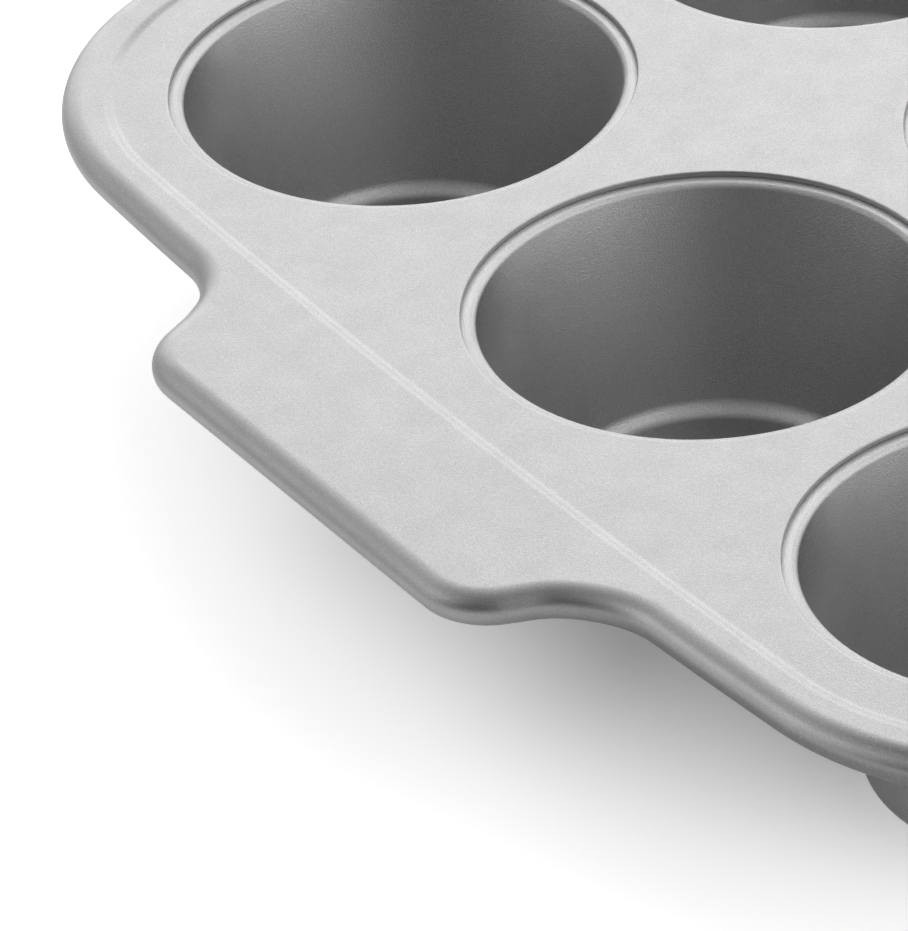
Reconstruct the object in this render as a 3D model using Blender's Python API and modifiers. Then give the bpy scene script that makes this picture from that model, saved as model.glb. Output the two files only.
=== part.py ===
"""Twelve-cup muffin pan, with each cup seamed into its own hole of one pressed sheet.

Metres, +Z up. The origin is on the table, under the middle of the pan, with the
long side along X. A handle tab stands out from the middle of each short side.
"""

import math

import bmesh
import bpy
from mathutils import Vector

# Cup pattern
COLUMNS = 4
ROWS = 3
CUP_SPACING = 0.0037

# Sheet steel
DECK_SHEET = 0.0004
CUP_SHEET = 0.0004
CLEARANCE = 0.0003

# Cup
PAN_HEIGHT = 0.0383
MOUTH_RADIUS = 0.0360
FLOOR_RADIUS = 0.0266
FLOOR_FILLET = 0.0030
LIP_ROUND = 0.0007

# Seam between a cup and the sheet
LEDGE_WIDTH = 0.00175
LEDGE_DROP = 0.0018
LEDGE_SHOULDER = 0.0004
FOLD_RADIUS = 0.0007
COLLAR_STRAIGHT = 0.00025
FLARE_HEIGHT = 0.00105
FLARE_ANGLE = math.radians(40)

# Border, measured from the holes to where the edge starts to roll
END_MARGIN = 0.0159
SIDE_MARGIN = 0.0149
CORNER_RADIUS = 0.0503
END_BOW = 0.0022
CREASE_INSET = 0.0052
CREASE_WIDTH = 0.0022
CREASE_HEIGHT = 0.00025

# Handle tab
HANDLE_REACH = 0.0198
HANDLE_WIDTH = 0.0892
HANDLE_CORNER = 0.0084
HANDLE_FILLET = 0.0209
FLANK_ANGLE = math.radians(65)

# Rolled edge
ROLL_RADIUS = 0.0028
ROLL_TURN = math.radians(295)

# Fineness
ROUND_STEPS = 24
CORNER_STEPS = 8
SIDE_STEPS = 4
HANDLE_STEPS = 4
ROLL_STEPS = 9
FILLET_STEPS = 2
WIRE_ROUNDNESS = 2
SAME_PLACE = 0.000005
SHARP_ANGLE = math.radians(50)

# The collar is the turned-down edge of a hole in the sheet.
COLLAR_RADIUS = MOUTH_RADIUS + LEDGE_WIDTH
COLLAR_DROP = FOLD_RADIUS + COLLAR_STRAIGHT
SEAM_DROP = COLLAR_DROP + FLARE_HEIGHT
FLARE_RADIUS = COLLAR_RADIUS + FLARE_HEIGHT * math.tan(FLARE_ANGLE)

# The cup's hem lies outside the collar's flare and leans in over it.
HEM_OFFSET = (DECK_SHEET + CLEARANCE) / math.cos(FLARE_ANGLE)
HEM_TOP_DROP = DECK_SHEET + CLEARANCE + CUP_SHEET * math.sin(FLARE_ANGLE)
CHANNEL_DROP = SEAM_DROP + CLEARANCE


def hem_radius(drop):
    """Inside radius of the cup's hem at this depth below the sheet's top."""
    lean = (drop - COLLAR_DROP) * math.tan(FLARE_ANGLE)
    return COLLAR_RADIUS + lean + HEM_OFFSET


SEAM_DEPTH = CHANNEL_DROP + CUP_SHEET
SEAM_RADIUS = hem_radius(SEAM_DEPTH) + CUP_SHEET / math.cos(FLARE_ANGLE)
PITCH = 2 * SEAM_RADIUS + CUP_SPACING
LAST_X = PITCH * (COLUMNS - 1) / 2
LAST_Y = PITCH * (ROWS - 1) / 2

# The roll's centre line
END_X = LAST_X + COLLAR_RADIUS + END_MARGIN
SIDE_Y = LAST_Y + COLLAR_RADIUS + SIDE_MARGIN
HANDLE_X = END_X + HANDLE_REACH
WIRE_RADIUS = ROLL_RADIUS - DECK_SHEET - CLEARANCE


def arc(centre, radius, start, end, steps):
    """Points of an arc, each with the direction that points out of its circle."""
    found = []
    for step in range(steps + 1):
        angle = start + (end - start) * step / steps
        out = Vector((math.cos(angle), math.sin(angle)))
        found.append((centre + radius * out, out))
    return found


def end_bow():
    """A short side's shallow bow: its centre, radius and last angle, and where the
    corner's centre lies."""
    half = SIDE_Y - CORNER_RADIUS
    radius = (half**2 + END_BOW**2) / (2 * END_BOW)
    centre = Vector((END_X - radius, 0))
    across = math.sqrt((radius - CORNER_RADIUS) ** 2 - half**2)
    corner = centre + Vector((across, half))
    return centre, radius, math.atan2(half, across), corner


def mirrored(quarter):
    """A closed line from the quarter of it that runs from +X round to +Y."""
    places = list(quarter)
    for place, out in reversed(quarter):
        places.append((Vector((-place.x, place.y)), Vector((-out.x, out.y))))
    for place, out in quarter:
        places.append((-place, -out))
    for place, out in reversed(quarter):
        places.append((Vector((place.x, -place.y)), Vector((out.x, -out.y))))
    closed = []
    for place, out in places:
        if not closed or (place - closed[-1][0]).length > SAME_PLACE:
            closed.append((place, out))
    if (closed[0][0] - closed[-1][0]).length < SAME_PLACE:
        closed.pop()
    return closed


def body_line():
    """The pan's outline without its handles."""
    centre, radius, last, corner = end_bow()
    quarter = arc(centre, radius, 0, last, SIDE_STEPS)
    quarter += arc(corner, CORNER_RADIUS, last, math.pi / 2, CORNER_STEPS)
    quarter.append((Vector((0, SIDE_Y)), Vector((0, 1))))
    return mirrored(quarter)


def edge_line():
    """The pan's outline with its handles, along the centre of the roll."""
    centre, radius, last, corner = end_bow()
    tab = Vector((HANDLE_X - HANDLE_CORNER, HANDLE_WIDTH / 2 - HANDLE_CORNER))
    slope = Vector((math.cos(FLANK_ANGLE), math.sin(FLANK_ANGLE)))
    along = Vector((-slope.y, slope.x))
    start = tab + (HANDLE_CORNER + HANDLE_FILLET) * slope - centre
    half = start.dot(along)
    gap = start.length_squared - (radius + HANDLE_FILLET) ** 2
    reach = -half - math.sqrt(half**2 - gap)
    fillet = centre + start + reach * along
    toward = (centre - fillet).normalized()
    meet = math.atan2(toward.y, toward.x)

    quarter = [(Vector((HANDLE_X, 0)), Vector((1, 0)))]
    quarter += arc(tab, HANDLE_CORNER, 0, FLANK_ANGLE, HANDLE_STEPS)
    hollow = arc(fillet, HANDLE_FILLET, FLANK_ANGLE - math.pi, meet, HANDLE_STEPS)
    quarter += [(place, -out) for place, out in hollow]
    joined = math.atan2(-toward.y, -toward.x)
    quarter += arc(centre, radius, joined, last, SIDE_STEPS)
    quarter += arc(corner, CORNER_RADIUS, last, math.pi / 2, CORNER_STEPS)
    quarter.append((Vector((0, SIDE_Y)), Vector((0, 1))))
    return mirrored(quarter)


def cup_places():
    """Row and column numbers of each cup with its centre."""
    found = []
    for row in range(ROWS):
        for column in range(COLUMNS):
            place = Vector((PITCH * column - LAST_X, LAST_Y - PITCH * row, 0))
            found.append((row + 1, column + 1, place))
    return found


def material(name, colour, roughness, metallic):
    made = bpy.data.materials.new(name)
    made.use_nodes = True
    shader = made.node_tree.nodes["Principled BSDF"]
    shader.inputs["Base Color"].default_value = (*colour, 1)
    shader.inputs["Roughness"].default_value = roughness
    shader.inputs["Metallic"].default_value = metallic
    return made


def loop_of(mesh, line, inset, height):
    """A closed loop of edges at this inset from a line."""
    verts = [mesh.verts.new((*(place - inset * out), height)) for place, out in line]
    for first, second in zip(verts, verts[1:] + verts[:1]):
        mesh.edges.new((first, second))
    return verts


def loop_edges(mesh, verts):
    return [
        mesh.edges.get((first, second))
        for first, second in zip(verts, verts[1:] + verts[:1])
    ]


def extruded(mesh, verts, places):
    """Extrudes a closed loop and puts its copy at the given places."""
    made = bmesh.ops.extrude_edge_only(mesh, edges=loop_edges(mesh, verts))["geom"]
    fresh = {item for item in made if isinstance(item, bmesh.types.BMVert)}
    moved = []
    for vert, place in zip(verts, places):
        for edge in vert.link_edges:
            other = edge.other_vert(vert)
            if other in fresh:
                other.co = place
                moved.append(other)
                break
    return moved


def deck_mesh():
    """The sheet's upper face: flat middle, crease, border, rolled edge and collars."""
    mesh = bmesh.new()
    crease = body_line()
    edge = edge_line()

    inner = loop_of(mesh, crease, CREASE_INSET + CREASE_WIDTH / 2, 0)
    crest = [(*(place - CREASE_INSET * out), CREASE_HEIGHT) for place, out in crease]
    foot = CREASE_INSET - CREASE_WIDTH / 2
    outer = [(*(place - foot * out), 0) for place, out in crease]
    border = extruded(mesh, extruded(mesh, inner, crest), outer)

    rim = loop_of(mesh, edge, 0, 0)
    strip = loop_edges(mesh, border) + loop_edges(mesh, rim)
    bmesh.ops.triangle_fill(mesh, use_beauty=True, edges=strip)
    ring = rim
    for step in range(1, ROLL_STEPS + 1):
        angle = math.pi / 2 - ROLL_TURN * step / ROLL_STEPS
        reach = ROLL_RADIUS * math.cos(angle)
        height = ROLL_RADIUS * (math.sin(angle) - 1)
        places = [(*(place + reach * out), height) for place, out in edge]
        ring = extruded(mesh, ring, places)

    flat_edges = loop_edges(mesh, inner)
    holes = []
    for _, _, centre in cup_places():
        around = [
            (centre.to_2d(), Vector((math.cos(turn), math.sin(turn))))
            for turn in (math.tau * step / ROUND_STEPS for step in range(ROUND_STEPS))
        ]
        verts = loop_of(mesh, around, -(COLLAR_RADIUS + FOLD_RADIUS), 0)
        flat_edges += loop_edges(mesh, verts)
        holes.append((around, verts))
    bmesh.ops.triangle_fill(mesh, use_beauty=True, edges=flat_edges)
    half_turn = math.sqrt(0.5)
    section = (
        (COLLAR_RADIUS + FOLD_RADIUS * (1 - half_turn), FOLD_RADIUS * (1 - half_turn)),
        (COLLAR_RADIUS, FOLD_RADIUS),
        (COLLAR_RADIUS, COLLAR_DROP),
        (FLARE_RADIUS, SEAM_DROP),
    )
    for around, verts in holes:
        ring = verts
        for radius, drop in section:
            places = [(*(place + radius * out), -drop) for place, out in around]
            ring = extruded(mesh, ring, places)

    bmesh.ops.recalc_face_normals(mesh, faces=mesh.faces)
    flat = max(mesh.faces, key=lambda face: face.calc_area())
    if flat.normal.z < 0:
        bmesh.ops.reverse_faces(mesh, faces=mesh.faces)
    data = bpy.data.meshes.new("deck_sheet")
    mesh.to_mesh(data)
    mesh.free()
    return data


def cup_profile():
    """The cup's inner face, from its hem down to the middle of its floor."""
    floor_drop = PAN_HEIGHT - CUP_SHEET
    wall_lean = math.atan2(MOUTH_RADIUS - FLOOR_RADIUS, floor_drop - LEDGE_DROP)
    lip_cut = LIP_ROUND * math.tan((math.pi / 2 - wall_lean) / 2)
    floor_cut = FLOOR_FILLET * math.tan((math.pi / 2 - wall_lean) / 2)
    ledge_edge = COLLAR_RADIUS - LEDGE_SHOULDER
    channel_edge = ledge_edge + (CHANNEL_DROP - LEDGE_DROP)
    profile = [
        (hem_radius(HEM_TOP_DROP), HEM_TOP_DROP),
        (hem_radius(CHANNEL_DROP), CHANNEL_DROP),
        (channel_edge, CHANNEL_DROP),
        (ledge_edge, LEDGE_DROP),
        (MOUTH_RADIUS + lip_cut, LEDGE_DROP),
        (
            MOUTH_RADIUS - lip_cut * math.sin(wall_lean),
            LEDGE_DROP + lip_cut * math.cos(wall_lean),
        ),
    ]
    centre = (FLOOR_RADIUS - floor_cut, floor_drop - FLOOR_FILLET)
    for step in range(FILLET_STEPS + 1):
        turn = (math.pi / 2 - wall_lean) * step / FILLET_STEPS + wall_lean
        profile.append(
            (
                centre[0] + FLOOR_FILLET * math.cos(turn),
                centre[1] + FLOOR_FILLET * math.sin(turn),
            )
        )
    profile.append((0, floor_drop))
    return profile


def cup_mesh():
    data = bpy.data.meshes.new("cup_profile")
    places = [(radius, 0, -drop) for radius, drop in cup_profile()]
    sides = [(step, step + 1) for step in range(len(places) - 1)]
    data.from_pydata(places, sides, [])
    return data


def shade(obj):
    for face in obj.data.polygons:
        face.use_smooth = True


def main():
    for obj in list(bpy.data.objects):
        bpy.data.objects.remove(obj)
    pan = bpy.data.collections.new("muffin_pan")
    bpy.context.scene.collection.children.link(pan)
    base = bpy.data.objects.new("pan_base", None)
    base.location.z = PAN_HEIGHT
    pan.objects.link(base)

    coat = material("deck_coating", (0.50, 0.50, 0.50), 0.34, 0.75)
    cup_coat = material("cup_coating", (0.33, 0.33, 0.33), 0.38, 0.70)
    steel = material("wire_steel", (0.55, 0.55, 0.54), 0.30, 1.0)

    deck = bpy.data.objects.new("deck_sheet", deck_mesh())
    deck.data.materials.append(coat)
    deck.parent = base
    pan.objects.link(deck)
    shade(deck)
    deck.data.set_sharp_from_angle(angle=SHARP_ANGLE)
    wall = deck.modifiers.new("sheet", "SOLIDIFY")
    wall.thickness = DECK_SHEET
    wall.offset = -1
    wall.use_even_offset = True

    wire_line = bpy.data.curves.new("rim_wire", "CURVE")
    wire_line.dimensions = "3D"
    wire_line.bevel_depth = WIRE_RADIUS
    wire_line.bevel_resolution = WIRE_ROUNDNESS
    spline = wire_line.splines.new("POLY")
    line = edge_line()
    spline.points.add(len(line) - 1)
    for point, (place, _) in zip(spline.points, line):
        point.co = (place.x, place.y, -ROLL_RADIUS, 1)
    spline.use_cyclic_u = True
    spline.use_smooth = True
    wire = bpy.data.objects.new("rim_wire", wire_line)
    wire_line.materials.append(steel)
    wire.parent = base
    pan.objects.link(wire)

    profile = cup_mesh()
    profile.materials.append(cup_coat)
    for row, column, place in cup_places():
        cup = bpy.data.objects.new(f"cup_row{row}_col{column}", profile)
        cup.parent = base
        cup.location = place
        pan.objects.link(cup)
        turned = cup.modifiers.new("turned", "SCREW")
        turned.axis = "Z"
        turned.angle = math.tau
        turned.steps = ROUND_STEPS
        turned.render_steps = ROUND_STEPS
        turned.use_merge_vertices = True
        turned.merge_threshold = SAME_PLACE
        turned.use_smooth_shade = True
        wall = cup.modifiers.new("sheet", "SOLIDIFY")
        wall.thickness = CUP_SHEET
        wall.offset = 1
        wall.use_even_offset = True


main()
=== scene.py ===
import math

import bmesh
import bpy
from mathutils import Matrix, Vector


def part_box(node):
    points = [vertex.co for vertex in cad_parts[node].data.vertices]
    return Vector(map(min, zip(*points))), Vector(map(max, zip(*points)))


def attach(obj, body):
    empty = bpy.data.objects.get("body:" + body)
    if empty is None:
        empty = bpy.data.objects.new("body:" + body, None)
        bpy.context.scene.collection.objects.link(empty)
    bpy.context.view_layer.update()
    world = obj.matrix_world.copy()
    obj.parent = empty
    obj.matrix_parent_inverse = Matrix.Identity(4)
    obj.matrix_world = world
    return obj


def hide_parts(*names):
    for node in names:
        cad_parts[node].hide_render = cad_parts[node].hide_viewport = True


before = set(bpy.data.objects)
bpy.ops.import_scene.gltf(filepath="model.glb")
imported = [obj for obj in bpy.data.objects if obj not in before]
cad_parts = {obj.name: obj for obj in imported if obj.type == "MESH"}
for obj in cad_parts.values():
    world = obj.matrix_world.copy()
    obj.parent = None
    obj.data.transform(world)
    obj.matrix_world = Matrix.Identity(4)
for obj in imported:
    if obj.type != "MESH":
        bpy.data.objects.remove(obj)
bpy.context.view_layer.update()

scene = bpy.context.scene
scene.view_settings.view_transform = "Standard"


# the camera, at the photograph's viewing angle
viewpoint = {
    "place": (-0.6978, -0.8605, 0.7070),
    "azimuth": -31.28,  # degrees
    "elevation": 33.98,
    "roll": 4.37,
    "lens": 308.6,  # mm, as is the sensor's width
    "sensor": 36,
    "clipStart": 0.05,
    "clipEnd": 50,
}


def makeCamera():
    data = bpy.data.cameras.new("camera")
    data.lens = viewpoint["lens"]
    data.sensor_width = viewpoint["sensor"]
    data.clip_start = viewpoint["clipStart"]
    data.clip_end = viewpoint["clipEnd"]
    camera = bpy.data.objects.new("camera", data)
    scene.collection.objects.link(camera)
    azimuth = math.radians(viewpoint["azimuth"])
    elevation = math.radians(viewpoint["elevation"])
    roll = math.radians(viewpoint["roll"])
    back = Vector((
        math.sin(azimuth) * math.cos(elevation),
        -math.cos(azimuth) * math.cos(elevation),
        math.sin(elevation),
    ))
    right = (-back).cross(Vector((0, 0, 1))).normalized()
    down = (-back).cross(right)
    turnedRight = right * math.cos(roll) + down * math.sin(roll)
    turnedDown = down * math.cos(roll) - right * math.sin(roll)
    axes = Matrix((turnedRight, -turnedDown, back)).transposed().to_4x4()
    camera.matrix_world = Matrix.Translation(viewpoint["place"]) @ axes
    scene.camera = camera


makeCamera()
print("stage: camera placed")


# sizes that the pieces share, in metres, read from the solids where they hold them
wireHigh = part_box("rim_wire")[1]
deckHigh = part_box("deck_sheet")[1]
pan = {
    "sheet": 0.0004,
    "creaseHeight": 0.00025,  # of the solids' crease
    "wireRadius": 0.0021,
    "wireInset": 0.0001,  # the wire lies this far inside its outline
    "rollDrop": 0.0030,  # from the sheet's top down to the wire's middle
    "handleReach": 0.0195,
    "handleWidth": 0.0914,
    "handleCorner": 0.0100,
    "handleHollow": 0.0198,
    "flankAngle": 66,
    "cornerRadius": 0.0485,
    "endBow": 0.0028,
    "handleShift": 0.0008,  # the handles lie this far off the cups' middle row
    "shiftStart": 0.0005,  # past the short side's middle
    "shiftEnd": 0.008,
    "samePlace": 0.000005,
}
deckTop = deckHigh.z - pan["creaseHeight"]
handleX = wireHigh.x - pan["wireRadius"]
sideY = wireHigh.y - pan["wireRadius"]
endX = handleX - pan["handleReach"]

# how many points each stretch of a quarter of the outline gets
outline = {
    "tabStraight": 8,
    "tabCorner": 14,
    "hollow": 20,
    "bow": 22,
    "corner": 48,
    "longSide": 14,
}


def smooth(value, start, end):
    # from 0 at the start to 1 at the end, without a corner
    share = min(max((value - start) / (end - start), 0), 1)
    return share * share * (3 - 2 * share)


def arc(centre, radius, start, end, steps):
    found = []
    for step in range(steps + 1):
        angle = start + (end - start) * step / steps
        out = Vector((math.cos(angle), math.sin(angle)))
        found.append((centre + radius * out, out))
    return found


def straight(start, end, out, steps):
    return [(start.lerp(end, step / steps), out) for step in range(steps + 1)]


def endBow(reach, side, corner, bow):
    # a short side's shallow bow and the centre of the corner that ends it
    half = side - corner
    radius = (half**2 + bow**2) / (2 * bow)
    centre = Vector((reach - radius, 0))
    across = math.sqrt((radius - corner) ** 2 - half**2)
    return centre, radius, math.atan2(half, across), centre + Vector((across, half))


def mirrored(quarter):
    # a closed line from the quarter of it that runs from +X round to +Y
    places = list(quarter)
    places += [(Vector((-p.x, p.y)), Vector((-o.x, o.y))) for p, o in reversed(quarter)]
    places += [(-p, -o) for p, o in quarter]
    places += [(Vector((p.x, -p.y)), Vector((o.x, -o.y))) for p, o in reversed(quarter)]
    closed = []
    for place, out in places:
        if not closed or (place - closed[-1][0]).length > pan["samePlace"]:
            closed.append((place, out))
    if (closed[0][0] - closed[-1][0]).length < pan["samePlace"]:
        closed.pop()
    return closed


def creaseLine():
    # the stamped crease, which runs inside the handles
    reach, side, tight = crease["reach"], crease["side"], crease["corner"]
    centre, radius, last, corner = endBow(reach, side, tight, crease["bow"])
    quarter = arc(centre, radius, 0, last, outline["bow"])
    quarter += arc(corner, tight, last, math.pi / 2, outline["corner"])
    start = quarter[-1][0]
    quarter += straight(start, Vector((0, side)), Vector((0, 1)), outline["longSide"])
    return mirrored(quarter)


def edgeLine():
    # the outline with its handles, along the middle of the wire
    centre, radius, last, corner = endBow(
        endX, sideY, pan["cornerRadius"], pan["endBow"]
    )
    flank = math.radians(pan["flankAngle"])
    tight = pan["handleCorner"]
    hollow = pan["handleHollow"]
    tab = Vector((handleX - tight, pan["handleWidth"] / 2 - tight))
    slope = Vector((math.cos(flank), math.sin(flank)))
    along = Vector((-slope.y, slope.x))
    start = tab + (tight + hollow) * slope - centre
    half = start.dot(along)
    reach = -half - math.sqrt(half**2 - start.length_squared + (radius + hollow) ** 2)
    fillet = centre + start + reach * along
    toward = (centre - fillet).normalized()
    meet = math.atan2(toward.y, toward.x)

    tabEnd = Vector((handleX, tab.y))
    steps = outline["tabStraight"]
    quarter = straight(Vector((handleX, 0)), tabEnd, Vector((1, 0)), steps)
    quarter += arc(tab, tight, 0, flank, outline["tabCorner"])
    inside = arc(fillet, hollow, flank - math.pi, meet, outline["hollow"])
    quarter += [(place, -out) for place, out in inside]
    joined = math.atan2(-toward.y, -toward.x)
    quarter += arc(centre, radius, joined, last, outline["bow"])
    quarter += arc(corner, pan["cornerRadius"], last, math.pi / 2, outline["corner"])
    side = quarter[-1][0]
    quarter += straight(side, Vector((0, sideY)), Vector((0, 1)), outline["longSide"])
    line = []
    for place, out in mirrored(quarter):
        share = smooth(abs(place.x), endX + pan["shiftStart"], endX + pan["shiftEnd"])
        line.append((place + Vector((0, pan["handleShift"] * share)), out))
    return line


def ringEdges(bm, ring):
    return [bm.edges.get(pair) for pair in zip(ring, ring[1:] + ring[:1])]


def firstRing(bm, line, inset, height):
    ring = bmesh.ops.create_circle(bm, segments=len(line), radius=1)["verts"]
    for vert, (place, out) in zip(ring, line):
        vert.co = (*(place - inset * out), height)
    return ring


def nextRing(bm, ring, line, inset, height):
    made = bmesh.ops.extrude_edge_only(bm, edges=ringEdges(bm, ring))["geom"]
    fresh = {item for item in made if isinstance(item, bmesh.types.BMVert)}
    moved = []
    for vert, (place, out) in zip(ring, line):
        around = [edge.other_vert(vert) for edge in vert.link_edges]
        twin = next(other for other in around if other in fresh)
        twin.co = (*(place - inset * out), height)
        moved.append(twin)
    return moved


def facesUp(bm):
    # turns an open sheet so that its flat upper side faces up
    bmesh.ops.recalc_face_normals(bm, faces=bm.faces)
    flat = max(bm.faces, key=lambda face: face.calc_area())
    if flat.normal.z < 0:
        bmesh.ops.reverse_faces(bm, faces=bm.faces)


def addPiece(name, bm, material, node):
    data = bpy.data.meshes.new(name)
    bm.to_mesh(data)
    bm.free()
    for face in data.polygons:
        face.use_smooth = True
    data.materials.append(material)
    piece = bpy.data.objects.new(name, data)
    scene.collection.objects.link(piece)
    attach(piece, "root")
    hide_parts(node)
    return piece


def giveWall(piece, thickness):
    wall = piece.modifiers.new("sheet", "SOLIDIFY")
    wall.thickness = thickness
    wall.offset = -1
    wall.use_even_offset = True


# shader groups
def newGroup(name, inputs, outputs):
    group = bpy.data.node_groups.new(name, "ShaderNodeTree")
    for label, kind, value in inputs:
        socket = group.interface.new_socket(label, in_out="INPUT", socket_type=kind)
        if value is not None:
            socket.default_value = value
    for label, kind in outputs:
        group.interface.new_socket(label, in_out="OUTPUT", socket_type=kind)
    source = group.nodes.new("NodeGroupInput")
    sink = group.nodes.new("NodeGroupOutput")
    return group, source.outputs, sink.inputs


def plug(tree, value, socket):
    if isinstance(value, bpy.types.NodeSocket):
        tree.links.new(value, socket)
    elif value is not None:
        socket.default_value = value


def mathNode(tree, operation, first, second=None):
    node = tree.nodes.new("ShaderNodeMath")
    node.operation = operation
    plug(tree, first, node.inputs[0])
    plug(tree, second, node.inputs[1])
    return node.outputs[0]


def noiseNode(tree, vector, scale, detail, roughness=0.5):
    node = tree.nodes.new("ShaderNodeTexNoise")
    plug(tree, vector, node.inputs["Vector"])
    plug(tree, scale, node.inputs["Scale"])
    node.inputs["Detail"].default_value = detail
    node.inputs["Roughness"].default_value = roughness
    return node.outputs["Fac"]


def vectorNode(tree, operation, first, second=None, result="Vector"):
    node = tree.nodes.new("ShaderNodeVectorMath")
    node.operation = operation
    plug(tree, first, node.inputs[0])
    plug(tree, second, node.inputs[1])
    return node.outputs[result]


def rangeNode(tree, value, fromLow, fromHigh, toLow, toHigh):
    node = tree.nodes.new("ShaderNodeMapRange")
    for socket, given in zip(node.inputs, (value, fromLow, fromHigh, toLow, toHigh)):
        plug(tree, given, socket)
    return node.outputs["Result"]


def mixNode(tree, share, first, second, blend="MIX"):
    node = tree.nodes.new("ShaderNodeMix")
    node.data_type = "RGBA"
    node.blend_type = blend
    plug(tree, share, node.inputs["Factor"])
    plug(tree, first, node.inputs[6])  # the colour pair's sockets
    plug(tree, second, node.inputs[7])
    return node.outputs[2]


# the middle of a noise, which is spread to the whole range
noiseMiddle = (0.3, 0.7, 0, 1)
grain = {
    "coarse": 0.65,  # the shares of the coarse and the fine pebbles
    "coarseDetail": 2,
    "fine": 0.35,
    "fineDetail": 1,
    "finer": 2.3,  # how many fine pebbles there are to a coarse one, along a line
    "flakeEdge": (0.25, 0.5),  # between a flake's body and its edge, in cells
}


def makeCoatGrain():
    # the sprayed coating: a fine pebbled skin with a few bright flakes in it
    group, given, out = newGroup(
        "coatGrain",
        (
            ("Vector", "NodeSocketVector", None),
            ("Pebbles per metre", "NodeSocketFloat", None),
            ("Flakes per metre", "NodeSocketFloat", None),
            ("Flake share", "NodeSocketFloat", None),
        ),
        (
            ("Height", "NodeSocketFloat"),
            ("Flakes", "NodeSocketFloat"),
            ("Tone", "NodeSocketFloat"),
        ),
    )
    place = given["Vector"]
    scale = given["Pebbles per metre"]
    coarse = noiseNode(group, place, scale, grain["coarseDetail"])
    finer = mathNode(group, "MULTIPLY", scale, grain["finer"])
    fine = noiseNode(group, place, finer, grain["fineDetail"])
    high = mathNode(group, "MULTIPLY", coarse, grain["coarse"])
    low = mathNode(group, "MULTIPLY", fine, grain["fine"])
    cells = group.nodes.new("ShaderNodeTexVoronoi")
    plug(group, place, cells.inputs["Vector"])
    plug(group, given["Flakes per metre"], cells.inputs["Scale"])
    split = group.nodes.new("ShaderNodeSeparateColor")
    plug(group, cells.outputs["Color"], split.inputs[0])
    lowest = mathNode(group, "SUBTRACT", 1.0, given["Flake share"])
    chosen = mathNode(group, "GREATER_THAN", split.outputs[0], lowest)
    body = rangeNode(group, cells.outputs["Distance"], *grain["flakeEdge"], 1, 0)
    plug(group, mathNode(group, "ADD", high, low), out["Height"])
    plug(group, mathNode(group, "MULTIPLY", chosen, body), out["Flakes"])
    plug(group, rangeNode(group, coarse, *noiseMiddle), out["Tone"])
    return group


mottle = {"detail": 3, "roughness": 0.55, "hazeScale": 7, "hazeRoughness": 0.6}


def makeSoftMottle():
    # slow variation across the sheet, from the spraying and the baking
    group, given, out = newGroup(
        "softMottle",
        (
            ("Vector", "NodeSocketVector", None),
            ("Patches per metre", "NodeSocketFloat", 22),
        ),
        (("Mottle", "NodeSocketFloat"), ("Haze", "NodeSocketFloat")),
    )
    place = given["Vector"]
    patches, detail = given["Patches per metre"], mottle["detail"]
    slow = noiseNode(group, place, patches, detail, mottle["roughness"])
    quick = mathNode(group, "MULTIPLY", patches, mottle["hazeScale"])
    haze = noiseNode(group, place, quick, detail, mottle["hazeRoughness"])
    plug(group, rangeNode(group, slow, *noiseMiddle), out["Mottle"])
    plug(group, rangeNode(group, haze, *noiseMiddle), out["Haze"])
    return group


coatGrain = makeCoatGrain()
softMottle = makeSoftMottle()


def addGroup(tree, group, values):
    node = tree.nodes.new("ShaderNodeGroup")
    node.node_tree = group
    for label, value in values.items():
        plug(tree, value, node.inputs[label])
    return node.outputs


def newMaterial(name):
    material = bpy.data.materials.new(name)
    material.use_nodes = True
    tree = material.node_tree
    shader = tree.nodes["Principled BSDF"]
    place = tree.nodes.new("ShaderNodeTexCoord").outputs["Object"]
    return material, tree, shader, place


def grey(level):
    return (level, level, level, 1)


mottleShare = 0.15  # of a coat's tone; the pebbles have the rest
deckCoat = {
    "dark": 0.275,
    "light": 0.363,
    "flake": 0.40,
    "metallic": 0.85,
    "roughLow": 0.36,
    "roughHigh": 0.42,
    "pebbles": 4300,
    "flakes": 4600,
    "flakeShare": 0.08,
    "bump": 0.36,
    "bumpDistance": 0.00012,
}
cupCoat = {
    "dark": 0.320,
    "light": 0.416,
    "flake": 0.46,
    "metallic": 0.85,
    "roughLow": 0.43,
    "roughHigh": 0.49,
    "pebbles": 3800,
    "flakes": 3600,
    "flakeShare": 0.08,
    "bump": 0.55,
    "bumpDistance": 0.0002,
}


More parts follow.
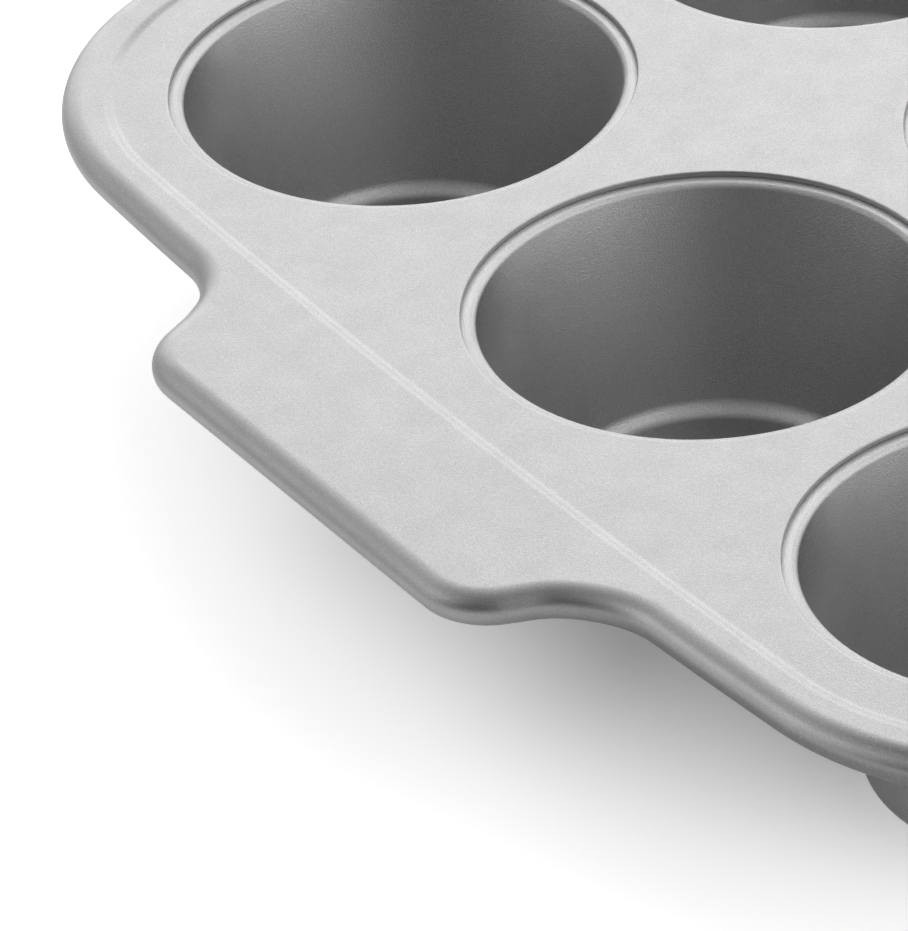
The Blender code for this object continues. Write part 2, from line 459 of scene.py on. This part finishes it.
def makeCoating(name, look):
    material, tree, shader, place = newMaterial(name)
    pebbles = addGroup(tree, coatGrain, {
        "Vector": place,
        "Pebbles per metre": look["pebbles"],
        "Flakes per metre": look["flakes"],
        "Flake share": look["flakeShare"],
    })
    patches = addGroup(tree, softMottle, {"Vector": place})
    slow = mathNode(tree, "MULTIPLY", patches["Mottle"], mottleShare)
    quick = mathNode(tree, "MULTIPLY", pebbles["Tone"], 1 - mottleShare)
    share = mathNode(tree, "ADD", slow, quick)
    colour = mixNode(tree, share, grey(look["dark"]), grey(look["light"]))
    # painted light and shade: each point carries a share which, added to 1, makes the coat
    # lighter or darker there
    paintedLight = tree.nodes.new("ShaderNodeAttribute")
    paintedLight.attribute_name = "paintedLight"
    level = mathNode(tree, "ADD", paintedLight.outputs["Fac"], 1.0)
    colour = mixNode(tree, 1.0, colour, level, "MULTIPLY")
    colour = mixNode(tree, pebbles["Flakes"], colour, grey(look["flake"]))
    plug(tree, colour, shader.inputs["Base Color"])
    shader.inputs["Metallic"].default_value = look["metallic"]
    rough = rangeNode(tree, patches["Haze"], 0, 1, look["roughLow"], look["roughHigh"])
    plug(tree, rough, shader.inputs["Roughness"])
    bump = tree.nodes.new("ShaderNodeBump")
    bump.inputs["Strength"].default_value = look["bump"]
    bump.inputs["Distance"].default_value = look["bumpDistance"]
    plug(tree, pebbles["Height"], bump.inputs["Height"])
    plug(tree, bump.outputs["Normal"], shader.inputs["Normal"])
    return material


wireLook = {
    "dark": 0.42,
    "light": 0.60,
    "roughLow": 0.28,
    "roughHigh": 0.42,
    "patches": 160,
}


def makeWireSteel():
    material, tree, shader, place = newMaterial("wireSteel")
    scale = {"Vector": place, "Patches per metre": wireLook["patches"]}
    patches = addGroup(tree, softMottle, scale)
    dark, light = grey(wireLook["dark"]), grey(wireLook["light"])
    colour = mixNode(tree, patches["Mottle"], dark, light)
    plug(tree, colour, shader.inputs["Base Color"])
    shader.inputs["Metallic"].default_value = 1
    low, high = wireLook["roughLow"], wireLook["roughHigh"]
    rough = rangeNode(tree, patches["Haze"], 0, 1, low, high)
    plug(tree, rough, shader.inputs["Roughness"])
    return material


deckCoating = makeCoating("deckCoating", deckCoat)
cupCoating = makeCoating("cupCoating", cupCoat)
wireSteel = makeWireSteel()
print("stage: finishes made")


# the pressed sheet: flat middle, crease, border, rolled edge and the turned-down holes
crease = {
    "reach": 0.17597,  # the middle of the crease, along the pan and across it
    "side": 0.13247,
    "corner": 0.0451,
    "bow": 0.0018,
    "width": 0.00225,
    "rise": 0.000004,
    "steps": 12,
}
sheet = {
    "support": 0.0004,  # flat rings beside a bend, which keep the flat evenly shaded
    "bendInset": 0.0011,  # where the flat starts to turn over the wire
    "bendReach": 0.00175,
    "bendFall": 0.00215,
    "bendSteps": 26,
    "rollRadius": 0.00272,
    "rollInset": 0.00004,
    "rollTurn": 295,  # degrees round the roll from its top
    "rollSteps": 26,
    "holeSides": 96,
    "foldRadius": 0.00022,
    "foldAngle": 84,  # how steeply the hole's edge is turned down
    "foldSteps": 7,
    "collarRadius": 0.03798,
    "collarDrop": 0.00078,
    "flareHeight": 0.00105,
    "flareAngle": 40,
}

# painted light and shade on the sheet's coat, as shares by which it is made lighter or
# darker in places; a pair is where a change begins and ends
creaseLightAndShade = {
    # painted highlights along the crease's flanks, which fade towards the far side
    "flanks": 0.14,
    "middle": 0.06,
    "linesEnd": (0.15, 0.65),  # the shares of +Y in the line's outward direction
    # painted shade along the middle of the crease on the far side
    "farSide": -0.42,
    "farStart": (0.66, 0.93),
}
# painted light and shade round the rolled edge: a darker bend, lighter on the far corners, a
# painted light band, a painted dark line round the near corners, and the lower roll darker
# short of the handles and lighter past them
edgeLightAndShade = {
    "bend": -0.12,
    "bendFar": 0.10,  # on the far corners
    "bendDrops": (0.0001, 0.0006),  # below the sheet's top
    # a painted highlight band
    "band": 0.18,  # a lighter band, short of the handles
    "bandDrops": (0.0006, 0.0010),
    # a painted dark line
    "line": -0.5,  # a dark line where the bend begins, round the near corners
    "lineStart": (-0.0001, 0.00005),
    "lineEnd": (0.0002, 0.0006),
    "low": 0.27,  # the lower part of the roll, from the handles on
    "lowNear": -0.34,  # and short of them
    "lowFar": 0.15,  # added on the far corners
    "lowDrops": (0.0018, 0.0030),
    "handles": (-0.07, -0.025),  # places across the pan
    "farCorners": (0.085, 0.125),
    "nearCorners": (0.09, 0.125),  # measured the other way
}
# painted shade on the holes' steep collars
collarPaintedShade = -0.1


def creasePaintedLight(across, out):
    # painted light and shade over the crease, from one side of it at 0 to the other at 1:
    # highlights along its flanks and shade along its far side
    middle = math.sin(across * math.pi)
    lines = creaseLightAndShade["flanks"] * math.sin(across * math.tau) ** 2
    lines += creaseLightAndShade["middle"] * middle
    fade = 1 - smooth(out.y, *creaseLightAndShade["linesEnd"])
    far = smooth(out.y, *creaseLightAndShade["farStart"])
    return lines * fade + creaseLightAndShade["farSide"] * middle * far


def edgePaintedLight(place, drop):
    # painted light and shade on the coat round the rolled edge
    past = smooth(place.y, *edgeLightAndShade["handles"])
    far = smooth(place.y, *edgeLightAndShade["farCorners"])
    near = smooth(-place.y, *edgeLightAndShade["nearCorners"])
    upper = edgeLightAndShade["bend"] * (1 - far) + edgeLightAndShade["bendFar"] * far
    upper *= smooth(drop, *edgeLightAndShade["bendDrops"])
    upper += edgeLightAndShade["band"] * smooth(drop, *edgeLightAndShade["bandDrops"]) * (1 - past)
    line = smooth(drop, *edgeLightAndShade["lineStart"]) * (1 - smooth(drop, *edgeLightAndShade["lineEnd"]))
    upper += edgeLightAndShade["line"] * line * near
    lower = edgeLightAndShade["lowNear"] * (1 - past) + edgeLightAndShade["low"] * past
    lower += edgeLightAndShade["lowFar"] * far
    low = smooth(drop, *edgeLightAndShade["lowDrops"])
    return upper * (1 - low) + lower * low


def bezier(start, first, second, end, steps):
    found = []
    for step in range(steps + 1):
        t = step / steps
        u = 1 - t
        found.append(
            start * u**3 + first * 3 * u * u * t + second * 3 * u * t * t + end * t**3
        )
    return found


def edgeSection():
    # inset and drop of each ring from the flat border round to the roll's free end
    radius = sheet["rollRadius"]
    centre = Vector((sheet["rollInset"], pan["rollDrop"]))
    turn = math.radians(sheet["rollTurn"])
    first = Vector((sheet["bendInset"], 0))
    side = centre - Vector((radius, 0))
    section = bezier(
        first,
        first - Vector((sheet["bendReach"], 0)),
        side - Vector((0, sheet["bendFall"])),
        side,
        sheet["bendSteps"],
    )
    quarter = math.pi / 2
    for step in range(1, sheet["rollSteps"] + 1):
        angle = quarter + (turn - quarter) * step / sheet["rollSteps"]
        section.append(centre + radius * Vector((-math.sin(angle), -math.cos(angle))))
    return section


def cupCentres():
    found = []
    for name in sorted(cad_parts):
        if name.startswith("cup_"):
            low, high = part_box(name)
            found.append((name, Vector(((low.x + high.x) / 2, (low.y + high.y) / 2))))
    return found


def pressCrease(bm, paintedLight):
    # gives the ring where the flat middle starts and the one where the border does
    line = creaseLine()
    half = crease["width"] / 2
    flatRing = firstRing(bm, line, half + sheet["support"], deckTop)
    ring = nextRing(bm, flatRing, line, half, deckTop)
    for step in range(1, crease["steps"] + 1):
        across = step / crease["steps"]
        rise = crease["rise"] * (1 - math.cos(across * math.tau)) / 2
        ring = nextRing(bm, ring, line, half - crease["width"] * across, deckTop + rise)
        for vert, (_, out) in zip(ring, line):
            # painted highlights and shade over the crease
            vert[paintedLight] = creasePaintedLight(across, out)
    return flatRing, nextRing(bm, ring, line, -half - sheet["support"], deckTop)


def rollEdge(bm, paintedLight, border):
    line = edgeLine()
    ring = firstRing(bm, line, sheet["bendInset"] + sheet["support"], deckTop)
    strip = ringEdges(bm, border) + ringEdges(bm, ring)
    bmesh.ops.triangle_fill(bm, use_beauty=True, edges=strip)
    for inset, drop in edgeSection():
        ring = nextRing(bm, ring, line, inset, deckTop - drop)
        for vert, (place, _) in zip(ring, line):
            # painted light and shade round the rolled edge
            vert[paintedLight] = edgePaintedLight(place, drop)


def turnHoles(bm, paintedLight, flatRing):
    # a tight fold, a steep collar and the flare that the cup's hem holds
    fold = sheet["foldRadius"]
    lean = math.radians(sheet["foldAngle"])
    slant = (sheet["collarDrop"] - fold * (1 - math.cos(lean))) / math.tan(lean)
    holeRadius = sheet["collarRadius"] + slant + fold * math.sin(lean)
    flare = sheet["flareHeight"] * math.tan(math.radians(sheet["flareAngle"]))
    collarHeight = deckTop - sheet["collarDrop"]
    flatEdges = ringEdges(bm, flatRing)
    holes = []
    for _, centre in cupCentres():
        turns = (math.tau * step / sheet["holeSides"] for step in range(sheet["holeSides"]))
        around = [(centre, Vector((math.cos(turn), math.sin(turn)))) for turn in turns]
        ring = firstRing(bm, around, -holeRadius - sheet["support"], deckTop)
        flatEdges += ringEdges(bm, ring)
        holes.append((around, ring))
    bmesh.ops.triangle_fill(bm, use_beauty=True, edges=flatEdges)
    for around, ring in holes:
        for step in range(sheet["foldSteps"] + 1):
            angle = lean * step / sheet["foldSteps"]
            radius = holeRadius - fold * math.sin(angle)
            height = deckTop - fold * (1 - math.cos(angle))
            ring = nextRing(bm, ring, around, -radius, height)
        ring = nextRing(bm, ring, around, -sheet["collarRadius"], collarHeight)
        for vert in ring:
            # painted shade on the collar
            vert[paintedLight] = collarPaintedShade
        radius = sheet["collarRadius"] + flare
        nextRing(bm, ring, around, -radius, collarHeight - sheet["flareHeight"])


def makeSheet():
    bm = bmesh.new()
    # a per-point share of painted light and shade for the sheet's coat
    paintedLight = bm.verts.layers.float.new("paintedLight")
    flatRing, border = pressCrease(bm, paintedLight)
    rollEdge(bm, paintedLight, border)
    turnHoles(bm, paintedLight, flatRing)
    facesUp(bm)
    piece = addPiece("pressedSheet", bm, deckCoating, "deck_sheet")
    giveWall(piece, pan["sheet"])
    return piece


pressedSheet = makeSheet()
print("stage: sheet pressed,", len(pressedSheet.data.vertices), "points")


# the wire inside the rolled edge
wire = {"bevelSteps": 5}


def makeWire():
    line = bpy.data.curves.new("edgeWire", "CURVE")
    line.dimensions = "3D"
    line.bevel_depth = pan["wireRadius"]
    line.bevel_resolution = wire["bevelSteps"]
    spline = line.splines.new("POLY")
    places = edgeLine()
    spline.points.add(len(places) - 1)
    for point, (place, out) in zip(spline.points, places):
        middle = place - pan["wireInset"] * out
        point.co = (middle.x, middle.y, deckTop - pan["rollDrop"], 1)
    spline.use_cyclic_u = True
    spline.use_smooth = True
    line.materials.append(wireSteel)
    piece = bpy.data.objects.new("edgeWire", line)
    scene.collection.objects.link(piece)
    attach(piece, "root")
    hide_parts("rim_wire")


makeWire()
print("stage: edge wire laid")


# the cups, each turned from one profile and seamed under the sheet
cup = {
    "mouthRadius": 0.03578,
    "floorRadius": 0.0266,
    "floorFillet": 0.0030,
    "floorSteps": 10,
    "floorRing": 0.0006,  # a flat ring inside the floor's fillet
    "lipRound": 0.0010,
    "lipSteps": 8,
    "ledgeDrop": 0.00092,
    "ledgeRadius": 0.03809,  # where the ledge meets the hole's collar
    "clearance": 0.0003,
    "hemCut": (0.00015, 0.0002),  # the hem's cut corners, across and up
    "channelCut": 0.0001,
    "shoulderCut": (0.00003, 0.00005),
    "shoulderInset": 0.00007,
    "wallSteps": 6,
    "sides": 112,
}

# painted light and shade on the cup's coat, as shares by which it is made lighter or darker
# in places; each side is a direction, and its range is of the cosines to it over which the
# change begins
cupLightAndShade = {
    # a painted highlight round the floor's fillet
    "fillet": 0.7,  # round the floor
    "shoulder": (0.35, 0.65),  # by the collar, and what the shade there adds
    "shoulderWidth": 0.0002,
    "ledge": (0.03, 0.3),
    "shadedSide": (0.52, 0.855),
    "shadedRange": (-0.4, 0.7),
    "lip": -0.12,
    "litLip": 0.2,
    "litLipSide": (0.1, 0.995),
    "litLipRange": (0.4, 0.95),
    "lipShare": 0.7,  # of the lip's round, from its top
    # painted shade at the top of the wall on one side, and a painted highlight on its lit
    # part
    "dark": -0.62,  # the top of the wall, on one side
    "darkSide": (-0.855, 0.519),
    "darkRange": (0.8, 0.97),
    "lit": 0.26,  # the lit part of the wall
    "litTop": 0.10,  # and more towards its top
    "litSide": (-0.12, 0.993),
    "litRange": (0.62, 1.0),
    "topEnd": 0.013,  # below the sheet's top
}


def hemRadius(drop):
    lean = math.radians(sheet["flareAngle"])
    offset = (pan["sheet"] + cup["clearance"]) / math.cos(lean)
    return sheet["collarRadius"] + (drop - sheet["collarDrop"]) * math.tan(lean) + offset


def wallDraft():
    # the wall's lean, and how far from its end a round of radius 1 onto a level starts
    fall = deckTop - pan["sheet"] - cup["ledgeDrop"]
    draft = math.atan2(cup["mouthRadius"] - cup["floorRadius"], fall)
    return draft, math.tan((math.pi / 2 - draft) / 2)


def hemProfile():
    # radius and drop from the hem's free edge down, round the channel and up to the ledge
    lean = math.radians(sheet["flareAngle"])
    top = pan["sheet"] + cup["clearance"] + pan["sheet"] * math.sin(lean)
    channel = sheet["collarDrop"] + sheet["flareHeight"] + cup["clearance"]
    under = cup["ledgeRadius"] + (channel - cup["ledgeDrop"]) * math.tan(lean)
    hemAcross, hemUp = cup["hemCut"]
    across, down = cup["shoulderCut"]
    return [
        (hemRadius(top), top),
        (hemRadius(channel - hemUp), channel - hemUp),
        (hemRadius(channel) - hemAcross, channel),
        (under + cup["channelCut"], channel),
        (under - cup["channelCut"], channel - cup["channelCut"]),
        (cup["ledgeRadius"] + across, cup["ledgeDrop"] + down),
        (cup["ledgeRadius"] - cup["shoulderInset"], cup["ledgeDrop"]),
    ]


def cupProfile():
    # radius and drop of the inner face, from the hem down to the middle of the floor
    profile = hemProfile()
    draft, half = wallDraft()
    turn = math.pi / 2 - draft
    lip = cup["lipRound"]
    centre = Vector((cup["mouthRadius"] + lip * half, cup["ledgeDrop"] + lip))
    for step in range(cup["lipSteps"] + 1):
        angle = turn * step / cup["lipSteps"]
        profile.append((centre.x - lip * math.sin(angle), centre.y - lip * math.cos(angle)))
    floorDrop = deckTop - pan["sheet"]
    fillet = cup["floorFillet"]
    centre = Vector((cup["floorRadius"] - fillet * half, floorDrop - fillet))
    foot = Vector((centre.x + fillet * math.cos(draft), centre.y + fillet * math.sin(draft)))
    top = Vector(profile[-1])
    for step in range(1, cup["wallSteps"]):
        profile.append(tuple(top.lerp(foot, step / cup["wallSteps"])))
    for step in range(cup["floorSteps"] + 1):
        angle = draft + turn * step / cup["floorSteps"]
        profile.append((
            centre.x + fillet * math.cos(angle),
            centre.y + fillet * math.sin(angle),
        ))
    profile.append((centre.x - cup["floorRing"], floorDrop))
    profile.append((0, floorDrop))
    return profile


def facing(out, side, limits):
    return smooth(out.dot(Vector(side)), *limits)


def cupPaintedLight(radius, out, drop):
    # painted light and shade on the coat of a place outside the floor, which faces outward
    # along out
    ledgeStart = cup["mouthRadius"] + cup["lipRound"] * wallDraft()[1]
    if radius > ledgeStart - pan["samePlace"]:
        outer = radius > cup["ledgeRadius"] - cupLightAndShade["shoulderWidth"]
        level, added = cupLightAndShade["shoulder"] if outer else cupLightAndShade["ledge"]
        return level + added * facing(out, cupLightAndShade["shadedSide"], cupLightAndShade["shadedRange"])
    if drop < cup["ledgeDrop"] + cup["lipRound"] * cupLightAndShade["lipShare"]:
        share = facing(out, cupLightAndShade["litLipSide"], cupLightAndShade["litLipRange"])
        return cupLightAndShade["litLip"] * share + cupLightAndShade["lip"] * (1 - share)
    upper = 1 - smooth(drop, cup["ledgeDrop"], cupLightAndShade["topEnd"])
    dark = upper * facing(out, cupLightAndShade["darkSide"], cupLightAndShade["darkRange"])
    lit = facing(out, cupLightAndShade["litSide"], cupLightAndShade["litRange"])
    return cupLightAndShade["dark"] * dark + (cupLightAndShade["lit"] + cupLightAndShade["litTop"] * upper) * lit


def turnedCup():
    bm = bmesh.new()
    # a per-point share of painted light and shade for the cup's coat
    paintedLight = bm.verts.layers.float.new("paintedLight")
    verts = [bm.verts.new((radius, 0, deckTop - drop)) for radius, drop in cupProfile()]
    # a painted highlight round the floor's fillet
    fillet = verts[-cup["floorSteps"] - 3:-2]
    for step, vert in enumerate(fillet):
        across = step / cup["floorSteps"]
        vert[paintedLight] = cupLightAndShade["fillet"] * math.sin(across * math.pi)
    edges = [bm.edges.new(pair) for pair in zip(verts, verts[1:])]
    bmesh.ops.spin(
        bm,
        geom=verts + edges,
        cent=(0, 0, 0),
        axis=(0, 0, 1),
        angle=math.tau,
        steps=cup["sides"],
        use_merge=True,
    )
    bmesh.ops.remove_doubles(bm, verts=bm.verts, dist=pan["samePlace"])
    # painted light and shade on the ledge, lip and wall
    for vert in bm.verts:
        radius = vert.co.xy.length
        if radius >= cup["floorRadius"]:
            added = cupPaintedLight(radius, vert.co.xy / radius, deckTop - vert.co.z)
            vert[paintedLight] += added
    bmesh.ops.recalc_face_normals(bm, faces=bm.faces)
    bm.faces.ensure_lookup_table()
    lowest = min(bm.faces, key=lambda face: face.calc_center_median().z)
    if lowest.normal.z < 0:
        bmesh.ops.reverse_faces(bm, faces=bm.faces)
    return bm


def makeCups():
    made = []
    pattern = turnedCup()
    for node, centre in cupCentres():
        bm = pattern.copy()
        bmesh.ops.translate(bm, verts=bm.verts, vec=(centre.x, centre.y, 0))
        row, column = node.split("_")[1:]
        name = "cupRow" + row[3:] + "Column" + column[3:]
        piece = addPiece(name, bm, cupCoating, node)
        giveWall(piece, pan["sheet"])
        made.append(piece)
    pattern.free()
    return made


cups = makeCups()
print("stage: cups turned,", len(cups))


# the floor and the light
# painted light on the floor: its glow is weak under the pan, strongest in a band just
# outside the pan's edge, where it lifts the pan's shadow, and weaker again far out
studio = {
    "floorSize": 6.0,
    "floorColour": 0.90,
    "glowNear": 0.10,
    "glowFar": 0.545,
    "glowStart": -0.052,  # past the pan's edge, in metres
    "glowEnd": 0.002,
    "fallStart": 0.020,
    "fallEnd": 0.080,
    "fallTo": 0.25,
    "glowMirrored": 0.3,  # the share of it that the coat mirrors
    "blend": 0.060,
}

# half length, half width and corner radius of the sheet and of the handles' strip
footprints = ((0.181, 0.138, 0.080), (0.195, 0.058, 0.035))

# soft lamps of the sky: azimuth from +Y toward +X, elevation, strength and how tight
softLamps = {
    "farLeft": (25, 10, 1.95, 7),
    "far": (50, 18, 2.25, 7),
    "right": (100, 30, 1.45, 6),
    "highRight": (135, 47, 1.0, 10),
    "nearRight": (160, 18, 1.65, 7),
    "left": (305, 18, 1.15, 8),
    "highLeft": (315, 45, 1.1, 9),
}


def distancePast(tree, place, halfLength, halfWidth, radius):
    # how far a place on the floor lies outside a rounded rectangle; inside it's negative
    inner = (halfLength - radius, halfWidth - radius, 0)
    past = vectorNode(tree, "SUBTRACT", vectorNode(tree, "ABSOLUTE", place), inner)
    outside = vectorNode(tree, "MAXIMUM", past, (0, 0, 0))
    reach = vectorNode(tree, "LENGTH", outside, result="Value")
    return mathNode(tree, "SUBTRACT", reach, radius)


def smoothRange(tree, value, *limits):
    level = rangeNode(tree, value, *limits)
    level.node.interpolation_type = "SMOOTHSTEP"
    return level


def makeFloor():
    bm = bmesh.new()
    bmesh.ops.create_grid(bm, x_segments=1, y_segments=1, size=studio["floorSize"])
    data = bpy.data.meshes.new("floor")
    bm.to_mesh(data)
    bm.free()
    floor = bpy.data.objects.new("floor", data)
    scene.collection.objects.link(floor)
    material = bpy.data.materials.new("paleFloor")
    material.use_nodes = True
    tree = material.node_tree
    tree.nodes.clear()
    diffuse = tree.nodes.new("ShaderNodeBsdfDiffuse")
    diffuse.inputs["Color"].default_value = grey(studio["floorColour"])
    place = tree.nodes.new("ShaderNodeTexCoord").outputs["Object"]
    # painted light: the glow follows the distance from the pan's footprints
    sheetFar, handleFar = [distancePast(tree, place, *size) for size in footprints]
    away = mathNode(tree, "SMOOTH_MIN", sheetFar, handleFar)
    away.node.inputs[2].default_value = studio["blend"]
    start, end = studio["glowStart"], studio["glowEnd"]
    level = smoothRange(tree, away, start, end, studio["glowNear"], studio["glowFar"])
    start, end = studio["fallStart"], studio["fallEnd"]
    fall = smoothRange(tree, away, start, end, 1, studio["fallTo"])
    level = mathNode(tree, "MULTIPLY", level, fall)
    path = tree.nodes.new("ShaderNodeLightPath").outputs
    mirrored = mathNode(
        tree, "MAXIMUM", path["Is Glossy Ray"], path["Is Transmission Ray"]
    )
    mirrored = mathNode(tree, "MULTIPLY", mirrored, studio["glowMirrored"])
    seen = mathNode(tree, "MAXIMUM", path["Is Camera Ray"], mirrored)
    glow = tree.nodes.new("ShaderNodeEmission")
    plug(tree, mathNode(tree, "MULTIPLY", seen, level), glow.inputs["Strength"])
    both = tree.nodes.new("ShaderNodeAddShader")
    sink = tree.nodes.new("ShaderNodeOutputMaterial")
    plug(tree, diffuse.outputs[0], both.inputs[0])
    plug(tree, glow.outputs[0], both.inputs[1])
    plug(tree, both.outputs[0], sink.inputs["Surface"])
    data.materials.append(material)


def makeWorld():
    world = bpy.data.worlds.new("studioAir")
    scene.world = world
    world.use_nodes = True
    tree = world.node_tree
    background = tree.nodes["Background"]
    direction = tree.nodes.new("ShaderNodeTexCoord").outputs["Generated"]
    total = 0.0
    for azimuth, elevation, strength, tightness in softLamps.values():
        turn, rise = math.radians(azimuth), math.radians(elevation)
        toward = (
            math.sin(turn) * math.cos(rise),
            math.cos(turn) * math.cos(rise),
            math.sin(rise),
        )
        near = vectorNode(tree, "DOT_PRODUCT", direction, toward, "Value")
        away = mathNode(tree, "SUBTRACT", near, 1.0)
        light = mathNode(tree, "EXPONENT", mathNode(tree, "MULTIPLY", away, tightness))
        total = mathNode(tree, "ADD", mathNode(tree, "MULTIPLY", light, strength), total)
    plug(tree, total, background.inputs["Strength"])
    background.inputs["Color"].default_value = grey(1)


makeFloor()
makeWorld()
print("stage: floor and light set")
